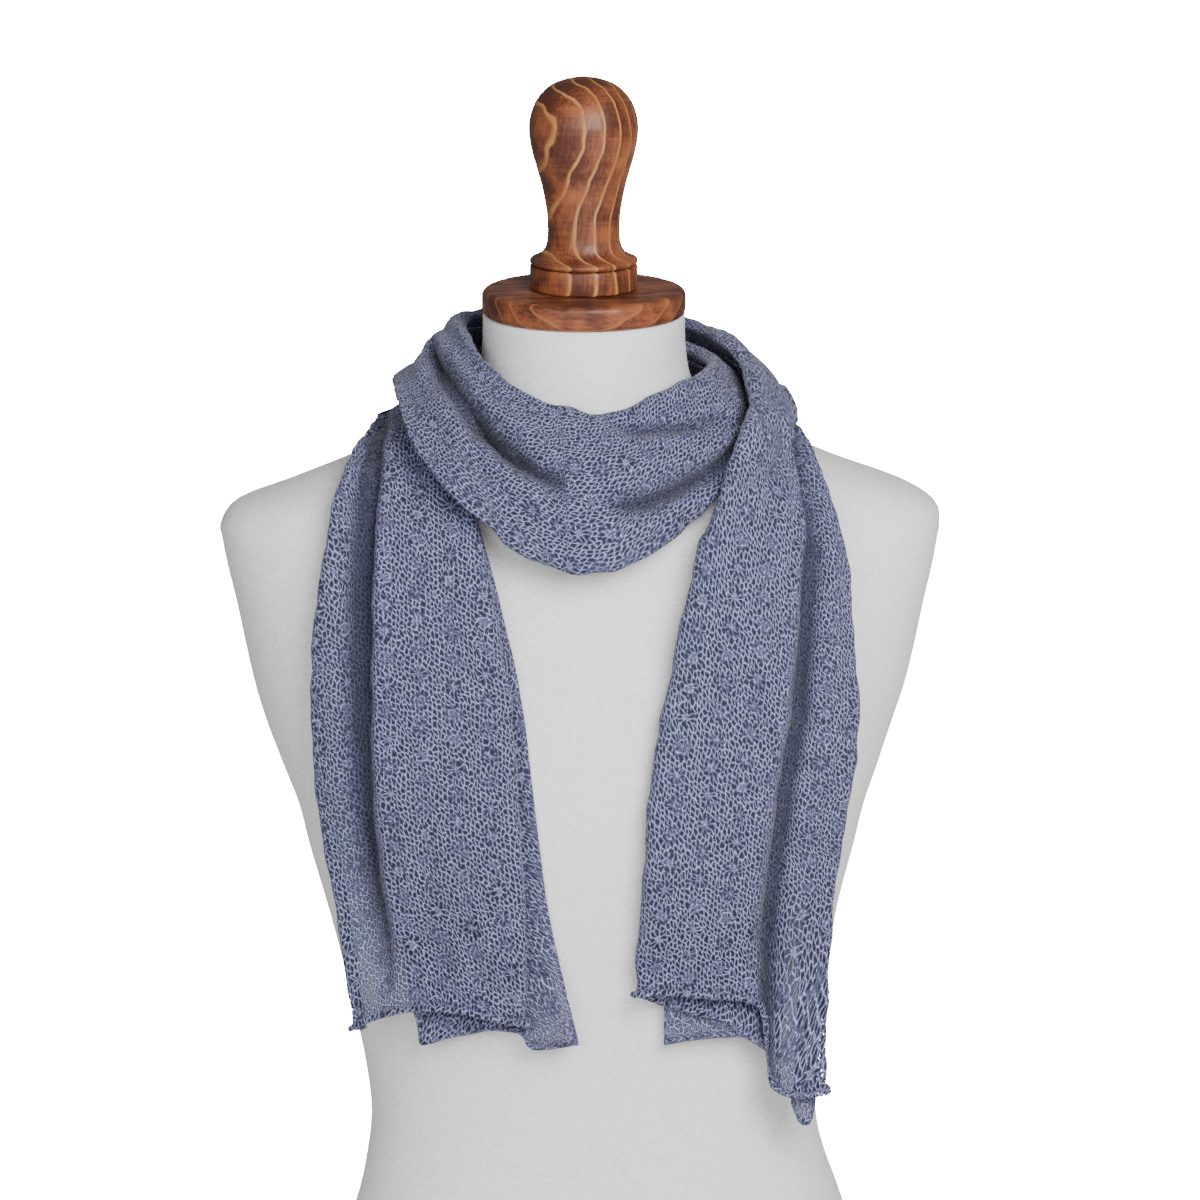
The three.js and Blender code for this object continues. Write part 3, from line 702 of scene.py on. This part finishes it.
def grid_mesh(across, along, place_points):
    """A bmesh grid with its column and row numbers: place_points gives a point for each of them."""
    grid = bmesh.new()
    bmesh.ops.create_grid(grid, x_segments=across, y_segments=along, size=1)
    columns = np.array([round((v.co.x + 1) / 2 * across) for v in grid.verts])
    rows = np.array([round((v.co.y + 1) / 2 * along) for v in grid.verts])
    points = place_points(columns, rows)
    for vert, point in zip(grid.verts, points * MM):
        vert.co = point
    return grid, columns, rows


def to_mesh(grid, name):
    """The finished, smooth mesh of a bmesh."""
    data = bpy.data.meshes.new(name)
    grid.to_mesh(data)
    grid.free()
    data.polygons.foreach_set("use_smooth", np.ones(len(data.polygons), dtype=bool))
    return data


LAYER_STEPS = (8, 72, 30, 34)  # steps across each layer of the folded cloth
FOLD_POINTS = 10


def cloth_places(detail):
    """Places across the cloth, close together round the folds."""
    places = []
    for layer, steps in enumerate(LAYER_STEPS):
        first = 0 if layer == 0 else FOLD_SHARE
        final = 1 if layer == 3 else 1 - FOLD_SHARE
        places.extend(layer + np.linspace(first, final, int(steps * detail) + 1))
        if layer < 3:
            places.extend(layer + 1 + FOLD_SHARE * np.linspace(-1, 1, FOLD_POINTS)[1:-1])
    return np.array(places)


def outward(surface):
    """The way out of a grid of points."""
    return unit(np.cross(np.gradient(surface, axis=0), np.gradient(surface, axis=1)))


def uneven(surface, first):
    """Small waves in the cloth, under a millimetre each way, and others in each stretch."""
    x, y, z = (surface[..., axis] for axis in range(3))
    phase = 0.7 * first
    waves = (
        0.35 * np.sin(0.31 * x + 0.12 * z + 2.1 * np.sin(0.05 * z + phase))
        + 0.3 * np.sin(0.17 * z - 0.21 * x + 1.7 * np.sin(0.07 * x + 0.04 * y))
        + 0.2 * np.sin(0.47 * y + 0.36 * z + phase)
    )
    return surface + outward(surface) * waves[..., None]


HEM_CURL = 1.5  # radius of the rolled hem
CURL_ANGLES = np.radians((45, 90, 135, 180, 225, 270, 310))
EDGE_BAND = 1.6  # width of the closer stitches along an edge
EDGE_CLOSED = 1.3  # closing at the edge itself, cut off at 1, so that it is whole for a little way
# troughs this deep get the full painted shade
DEEP = 12  # depth of the darkest troughs
# in these rows painted shade fills the holes instead of the layers behind showing through
NAPE_ROWS = ((6.5, 8, 14, 16), (20, 22, 31, 33))  # where the turns lie so close that nothing shows through
# painted shade fills part of each hole at the hems, and more of it up the tails, in place of the shaded
# layers behind
HEM_HOLE_SHADE = 0.3  # how far the holes are closed at the hems
TAIL_HOLE_SHADE = 0.4  # how much further they are closed up the tails
LEFT_OPEN = (0.5, 2.5)  # rows over which the open knit of each hem closes
RIGHT_OPEN = (LAST_ROW - 2, LAST_ROW - 0.5)
ROW_STEPS = 20  # steps of the mesh along each row of the table
SEAM_ROWS = 0.006  # half the gap between two stretches, in rows


def curl_hems(surface, at_start, at_end):
    """Rolls the cloth outwards at its two short ends."""
    out = outward(surface)

    def roll(end, inner):
        along = unit(surface[:, end] - surface[:, inner])
        turns = [math.sin(a) * along + (1 - math.cos(a)) * out[:, end] for a in CURL_ANGLES]
        return np.stack([surface[:, end] + HEM_CURL * turn for turn in turns], axis=1)

    if at_start:
        surface = np.concatenate((roll(0, 2)[:, ::-1], surface), axis=1)
    if at_end:
        surface = np.concatenate((surface, roll(-1, -3)), axis=1)
    return surface


def crease_shade_depth(at, place):
    """How deep each point lies in the troughs, from 0 to 1, which sets how much shade is painted there."""
    width = scarf_frame(at)[2]
    share = stack_point(at, place, width)[0] / width
    return np.clip(-fold_height(FOLDS + CREASES, at, share, width) / DEEP, 0, 1)


def stretch_surface(first, last, places, steps):
    """Points of one stretch with its rolled hems, their row numbers, and how deep they lie in troughs, for
    the painted shade.
    """
    start = first + (SEAM_ROWS if first else 0)
    end = last - (SEAM_ROWS if last < LAST_ROW else 0)
    row_values = np.linspace(start, end, steps + 1)
    columns, rows = np.meshgrid(np.arange(len(places)), np.arange(steps + 1), indexing="ij")
    at, place = row_values[rows.ravel()], places[columns.ravel()]
    surface = cloth_points(at, place, True, CREASES).reshape(len(places), steps + 1, 3)
    surface = curl_hems(uneven(surface, first), first == 0, last == LAST_ROW)
    curled = (len(CURL_ANGLES) * (first == 0), len(CURL_ANGLES) * (last == LAST_ROW))
    at_rows = np.pad(row_values, curled, mode="edge")
    depth = crease_shade_depth(at, place).reshape(len(places), steps + 1)
    return surface, at_rows, np.pad(depth, ((0, 0), curled))


def flat_places(surface, places, start_length):
    """Where each point lies in the cloth laid flat: across it from the face's middle, and along it."""
    middle = np.argmin(np.abs(places - 1.5))
    wide = np.linalg.norm(np.diff(surface, axis=0), axis=-1)
    u = np.concatenate((np.zeros((1, surface.shape[1])), np.cumsum(wide, axis=0)))
    long = np.linalg.norm(np.diff(surface[middle], axis=0), axis=-1)
    return u - u[middle], start_length + np.concatenate(([0], np.cumsum(long)))


def near_edge(u, v, at_start, at_end):
    """1 at the edges and the hems of the cloth, 0 away from them."""
    nearest = np.minimum(u - u[0], u[-1] - u)
    if at_start:
        nearest = np.minimum(nearest, v - v[0])
    if at_end:
        nearest = np.minimum(nearest, v[-1] - v)
    return np.clip(EDGE_CLOSED - nearest / EDGE_BAND, 0, 1)


def hole_shading(at_rows):
    """How far the holes are closed and filled with painted shade: wholly behind the neck, partly down the
    tails, least at the hems.
    """
    at_nape = sum(smooth_step(at_rows, a, b) - smooth_step(at_rows, c, d) for a, b, c, d in NAPE_ROWS)
    off_hems = smooth_step(at_rows, *LEFT_OPEN) * (1 - smooth_step(at_rows, *RIGHT_OPEN))
    return np.maximum(at_nape, HEM_HOLE_SHADE + TAIL_HOLE_SHADE * off_hems)


def build_stretch(name, look, material, start_length):
    """One stretch of the scarf as a thin shell. Returns where its stitches end, for the next one's."""
    first, last, flat_length, rests_on = STRETCHES[name]
    detail = 1.0
    places = cloth_places(detail)
    surface, at_rows, depth = stretch_surface(first, last, places, int((last - first) * ROW_STEPS * detail))
    u, v = flat_places(surface, places, start_length)
    closed = near_edge(u, v, first == 0, last == LAST_ROW)
    hole_shade = hole_shading(at_rows)

    grid, column, row = grid_mesh(len(places) - 1, len(v) - 1, lambda c, r: surface[c, r])
    cloth = grid.loops.layers.uv.new("cloth")
    edge = grid.verts.layers.float.new("edge")
    crease_shade = grid.verts.layers.float.new("crease_shade")
    shaded_holes = grid.verts.layers.float.new("shaded_holes")
    for vert, c, r in zip(grid.verts, column, row):
        vert[edge] = float(closed[c, r])
        vert[shaded_holes] = float(hole_shade[r])
        vert[crease_shade] = float(depth[c, r])
        for loop in vert.link_loops:
            loop[cloth].uv = (u[c, r], v[r])
    piece = add_object(name + "_knit", to_mesh(grid, name), material, name)
    wall = piece.modifiers.new("cloth", "SOLIDIFY")
    wall.thickness = look.thickness
    wall.offset = 0
    return v[-1]


def lathe(name, profile, around, place_ring):
    """A closed turned shape from a grid: place_ring lays a unit circle of each profile row."""
    angles = np.arange(around + 1) * (2 * math.pi / around)

    def points(column, row):
        return place_ring(np.cos(angles[column]), np.sin(angles[column]), row)

    grid, _, _ = grid_mesh(around, len(profile) - 1, points)
    bmesh.ops.remove_doubles(grid, verts=grid.verts, dist=1e-6)
    bmesh.ops.recalc_face_normals(grid, faces=grid.faces)
    return to_mesh(grid, name)


BODY_SIDES = 144
WOOD_SIDES = 96
RING_STEP = 0.25  # of a table row, between two rings of a mesh


def fine_rows(rows, column):
    """Row numbers of a table, with three more between each two."""
    return np.arange(0, len(rows[column]) - 1 + 1e-9, RING_STEP)


def build_body(material):
    """The form's body: rings on its sections, closed at the base and at the tilted neck."""
    fine = fine_rows(BODY, "z")
    rows = np.concatenate(([0, 0, 0], fine, [fine[-1]] * 2))
    shrink = np.concatenate(([0, 0.5, 0.985], np.ones(len(fine)), [0.5, 0]))

    def ring(c, s, row):
        at = rows[row]
        z, half, front, back, shift, power = (
            between(BODY, at, column) for column in ("z", "half", "front", "back", "shift", "power")
        )
        size = shrink[row]
        x = shift + half * size * np.sign(c) * np.abs(c) ** (2 / power)
        y = size * np.where(s < 0, front, back) * np.sign(s) * np.abs(s) ** (2 / power)
        lean = np.clip((z - NECK_START_Z) / (NECK_TOP_Z - NECK_START_Z), 0, 1) * math.tan(NECK_TILT)
        return np.stack((x, y, z + (y - NECK_TOP_Y) * lean), axis=-1)

    mesh_data = lathe("dress_form_body", rows, BODY_SIDES, ring)
    return add_object("dress_form_jersey", mesh_data, material, "dress_form_body")


CAP_RADIUS, CAP_HEIGHT, CAP_ROUND = 53.5, 13.5, 3.5
COLLAR_RADIUS, COLLAR_HEIGHT, COLLAR_BEVEL = 28.3, 12.5, 1.2

# The knob's outline: height over its foot, and radius.
KNOB = table(("height", "radius"), (
    (0, 27), (0.8, 28), (2, 28.3), (3.2, 27.6), (4.4, 25.2), (6.4, 21.9), (9.5, 19.9), (15, 18.9),
    (25, 19.1), (33, 20.2), (41, 21.8), (49, 24), (57, 26.3), (65, 28), (72.5, 28.5), (79.5, 27.3),
    (85.5, 24.8), (90.5, 20.9), (94.3, 15.8), (96.7, 9.5),
))
KNOB_FOOT = [(0, 0), (26, 0)]  # radius and height, from the axis out
KNOB_CROWN = [(5, 97.7), (0, 98.1)]
KNOB_HEART = (24.6, -8, 620)  # points on the hearts of the knob's and of the cap's wood
CAP_HEART = (-10, 20, 530)
KNOB_GRAIN_TURN = (-NECK_TILT, -0.07, 0.0)  # the knob's grain stands up along it
CAP_GRAIN_TURN = (0.1, math.radians(82), 0.3)  # the cap's grain lies nearly flat


def build_turned(name, profile, base, material):
    """One wooden piece, turned about the axis that leans forward with the neck."""
    radii, heights = np.array(profile, dtype=float).T

    def ring(c, s, row):
        x, y, z = radii[row] * c, radii[row] * s, base + heights[row]
        turned_y = y * math.cos(NECK_TILT) - z * math.sin(NECK_TILT)
        turned_z = y * math.sin(NECK_TILT) + z * math.cos(NECK_TILT)
        return np.stack((x, NECK_TOP_Y + turned_y, NECK_TOP_Z + turned_z), axis=-1)

    mesh_data = lathe(name, profile, WOOD_SIDES, ring)
    return add_object(name + "_wood", mesh_data, material, name)


def arc(radius, height, start, turn, steps):
    """Points of a quarter round on a turned profile, as radius and height."""
    angles = np.radians(np.linspace(start, start + 90, steps + 1))
    return [(radius + turn * math.cos(a), height + turn * math.sin(a)) for a in angles]


def closed_profile(points):
    """A profile from the axis, out and back to it, with its sharp corners held by close rows."""
    held = 0.97
    (low_radius, low), (high_radius, high) = points[0], points[-1]
    return [(0, low), (low_radius * held, low), *points, (high_radius * held, high), (0, high)]


def rounded_disc(radius, height, rounding, steps):
    """Profile of a turned disc with round edges."""
    inner = radius - rounding
    foot = arc(inner, rounding, -90, rounding, steps)
    return closed_profile(foot + arc(inner, height - rounding, 0, rounding, steps))


def knob_profile():
    """Profile of the knob, with its outline made finer."""
    fine = fine_rows(KNOB, "height")
    outline = zip(between(KNOB, fine, "radius"), between(KNOB, fine, "height"))
    return [*KNOB_FOOT, *outline, *KNOB_CROWN]


class ScarfLook(bpy.types.PropertyGroup):
    """Sizes and colours of the scarf."""

    thickness: bpy.props.FloatProperty(
        name="Yarn thickness", description="Thickness of the knitted cloth", default=0.0006, unit="LENGTH"
    )
    flat_width: bpy.props.FloatProperty(
        name="Flat width", description="Width of the scarf laid flat", default=0.27, unit="LENGTH"
    )
    wale: bpy.props.FloatProperty(
        name="Wale", description="Width of one stitch", default=0.0022, unit="LENGTH", precision=5
    )
    course: bpy.props.FloatProperty(
        name="Course", description="Height of one stitch", default=0.0031, unit="LENGTH", precision=5
    )
    # painted highlight: the colour along the middle of each strand
    yarn_highlight: bpy.props.FloatVectorProperty(
        name="Yarn highlight",
        description="Colour of the bright strands",
        default=(0.335, 0.345, 0.595),
        subtype="COLOR",
    )
    yarn: bpy.props.FloatVectorProperty(
        name="Yarn", description="Colour of the yarn", default=(0.062, 0.067, 0.132), subtype="COLOR"
    )
    yarn_shade: bpy.props.FloatVectorProperty(
        name="Yarn in shade",
        description="Colour inside the holes",
        default=(0.043, 0.046, 0.083),
        subtype="COLOR",
    )


class FormLook(bpy.types.PropertyGroup):
    """Colours of the dress form."""

    jersey: bpy.props.FloatVectorProperty(
        name="Jersey", description="Colour of the form's cover", default=(0.8, 0.785, 0.775), subtype="COLOR"
    )
    wood_red: bpy.props.FloatVectorProperty(
        name="Wood", description="Main colour of the wood", default=(0.25, 0.077, 0.028), subtype="COLOR"
    )
    wood_dark: bpy.props.FloatVectorProperty(
        name="Dark wood",
        description="Darker parts of the wood",
        default=(0.062, 0.016, 0.009),
        subtype="COLOR",
    )
    ring_gap: bpy.props.FloatProperty(
        name="Rings",
        description="Distance between the wood's golden lines",
        default=0.00833,
        unit="LENGTH",
        precision=5,
    )
    wood_gold: bpy.props.FloatVectorProperty(
        name="Grain", description="Colour of the golden grain", default=(0.5, 0.24, 0.075), subtype="COLOR"
    )


class StudioLook(bpy.types.PropertyGroup):
    """The light and the floor."""

    key_power: bpy.props.FloatProperty(
        name="Key light", description="Power of the main soft light", default=28.0, unit="POWER"
    )
    world: bpy.props.FloatProperty(
        name="Surround", description="Strength of the even light", default=0.26
    )
    backdrop: bpy.props.FloatProperty(
        name="Backdrop", description="Brightness of the white backdrop", default=40.0
    )


CAMERA_ELEVATION = math.radians(8)
CAMERA_DISTANCE = 2.4
CAMERA_TARGET = np.array((0.0085, 0.0, 0.41))
LENS = 135.84
SENSOR = 36
FLOOR_SIZE = 9
FLOOR_GLOW = 0.8  # share of the backdrop's brightness, for the floor and for the space behind it
SPACE_GLOW = 0.82
WHITE = (1.0, 1.0, 1.0)
LIGHT_TARGET = np.array((0, 0, 0.42))
LIGHTS = (
    # name, place, size and share of the key light's power
    ("key", (0.45, -1.15, 0.95), 0.7, 1.0),
    ("fill", (-0.5, -1.3, 0.7), 0.8, 0.3),
)


def add_camera(scene):
    """The camera, in front of the form and a little above its middle."""
    camera_data = bpy.data.cameras.new("camera")
    camera_data.sensor_width = SENSOR
    camera_data.lens = LENS
    camera = bpy.data.objects.new("camera", camera_data)
    back = np.array((0, -math.cos(CAMERA_ELEVATION), math.sin(CAMERA_ELEVATION)))
    camera.location = CAMERA_TARGET + CAMERA_DISTANCE * back
    camera.rotation_euler = (math.pi / 2 - CAMERA_ELEVATION, 0, 0)
    scene.collection.objects.link(camera)
    scene.camera = camera


def add_floor(scene, look):
    """A pale floor that looks white to the camera and lights the form as plain paint does."""
    floor = bmesh.new()
    bmesh.ops.create_grid(floor, x_segments=1, y_segments=1, size=FLOOR_SIZE)
    floor_data = bpy.data.meshes.new("floor")
    floor.to_mesh(floor_data)
    floor.free()
    floor_object = bpy.data.objects.new("floor", floor_data)
    scene.collection.objects.link(floor_object)
    paint = Finish("pale_floor", Roughness=1.0)
    paint.shader.inputs["Base Color"].default_value = (0.9, 0.9, 0.9, 1)
    paint.shader.inputs["Specular IOR Level"].default_value = 0
    seen = paint.node("ShaderNodeLightPath")
    glow = paint.node("ShaderNodeEmission", None, {"Color": WHITE, "Strength": look.backdrop})
    plain = Wire(paint, paint.shader.outputs[0])
    mixed = paint.node("ShaderNodeMixShader", None, {0: seen * FLOOR_GLOW, 1: plain, 2: glow})
    paint.tree.links.new(mixed.socket, paint.tree.nodes["Material Output"].inputs["Surface"])
    floor_data.materials.append(paint.material)


def add_surround(scene, look):
    """Even light from all round, behind which the camera sees white."""
    world = bpy.data.worlds.new("surround")
    world.use_nodes = True
    nodes, links = world.node_tree.nodes, world.node_tree.links
    lit = nodes["Background"]
    white = nodes.new("ShaderNodeBackground")
    for light, strength in ((lit, look.world), (white, look.backdrop * SPACE_GLOW)):
        light.inputs["Color"].default_value = (*WHITE, 1)
        light.inputs["Strength"].default_value = strength
    ray = nodes.new("ShaderNodeLightPath")
    both = nodes.new("ShaderNodeMixShader")
    links.new(ray.outputs["Is Camera Ray"], both.inputs[0])
    links.new(lit.outputs[0], both.inputs[1])
    links.new(white.outputs[0], both.inputs[2])
    links.new(both.outputs[0], nodes["World Output"].inputs["Surface"])
    scene.world = world


def add_lights(scene, look):
    """The soft lights, each turned to the form."""
    for name, place, size, share in LIGHTS:
        light_data = bpy.data.lights.new(name, "AREA")
        light_data.energy = look.key_power * share
        light_data.size = size
        light = bpy.data.objects.new(name, light_data)
        light.location = place
        aim = LIGHT_TARGET - np.array(place)
        flat = math.hypot(aim[0], aim[1])
        light.rotation_euler = (math.atan2(flat, -aim[2]), 0, math.atan2(aim[1], aim[0]) - math.pi / 2)
        scene.collection.objects.link(light)


class SCARF_OT_studio(bpy.types.Operator):
    """Add the camera, the floor and the soft lights"""

    bl_idname = "scarf.studio"
    bl_label = "Studio"

    def execute(self, context):
        scene = context.scene
        add_camera(scene)
        add_floor(scene, scene.studio_look)
        add_surround(scene, scene.studio_look)
        add_lights(scene, scene.studio_look)
        return {"FINISHED"}


class SCARF_OT_form(bpy.types.Operator):
    """Add the dress form with its wooden cap, collar and knob"""

    bl_idname = "scarf.form"
    bl_label = "Dress form"

    def execute(self, context):
        look = context.scene.form_look
        build_body(jersey_finish(look))
        upright = wood_finish(look, "turned_wood", KNOB_GRAIN_TURN, KNOB_HEART, phase=0.8, lines=0.75)
        lying = wood_finish(look, "lying_wood", CAP_GRAIN_TURN, CAP_HEART, phase=0.3, lines=0.45)
        cap = rounded_disc(CAP_RADIUS, CAP_HEIGHT, CAP_ROUND, 6)
        collar = rounded_disc(COLLAR_RADIUS, COLLAR_HEIGHT, COLLAR_BEVEL, 3)
        collar_base = 2 * PIECE_GAP + CAP_HEIGHT
        build_turned("neck_cap", cap, PIECE_GAP, lying)
        build_turned("knob_collar", collar, collar_base, upright)
        build_turned("knob", knob_profile(), collar_base + COLLAR_HEIGHT + PIECE_GAP, upright)
        return {"FINISHED"}


class SCARF_OT_cloth(bpy.types.Operator):
    """Add the five stretches of the knitted scarf"""

    bl_idname = "scarf.cloth"
    bl_label = "Scarf"

    def execute(self, context):
        look = context.scene.scarf_look
        material = knit_finish(look)
        lay_carried_rows()
        length = 0
        for name in STRETCHES:
            length = build_stretch(name, look, material, length)
        return {"FINISHED"}


class SCARF_PT_panel(bpy.types.Panel):
    """The scarf's pieces and sizes"""

    bl_label = "Scarf"
    bl_space_type = "VIEW_3D"
    bl_region_type = "UI"
    bl_category = "Scarf"

    def draw(self, context):
        for operator in (SCARF_OT_studio, SCARF_OT_form, SCARF_OT_cloth):
            self.layout.operator(operator.bl_idname)
        for group in (context.scene.scarf_look, context.scene.form_look, context.scene.studio_look):
            for name in group.bl_rna.properties.keys():
                if name not in ("rna_type", "name"):
                    self.layout.prop(group, name)


CLASSES = (ScarfLook, FormLook, StudioLook, SCARF_OT_studio, SCARF_OT_form, SCARF_OT_cloth, SCARF_PT_panel)


def register():
    for cls in CLASSES:
        bpy.utils.register_class(cls)
    bpy.types.Scene.scarf_look = bpy.props.PointerProperty(type=ScarfLook)
    bpy.types.Scene.form_look = bpy.props.PointerProperty(type=FormLook)
    bpy.types.Scene.studio_look = bpy.props.PointerProperty(type=StudioLook)


def unregister():
    for name in ("scarf_look", "form_look", "studio_look"):
        delattr(bpy.types.Scene, name)
    for cls in reversed(CLASSES):
        bpy.utils.unregister_class(cls)


def main():
    register()
    bpy.ops.scarf.studio()
    bpy.ops.scarf.form()
    bpy.ops.scarf.cloth()


if __name__ == "__main__":
    main()
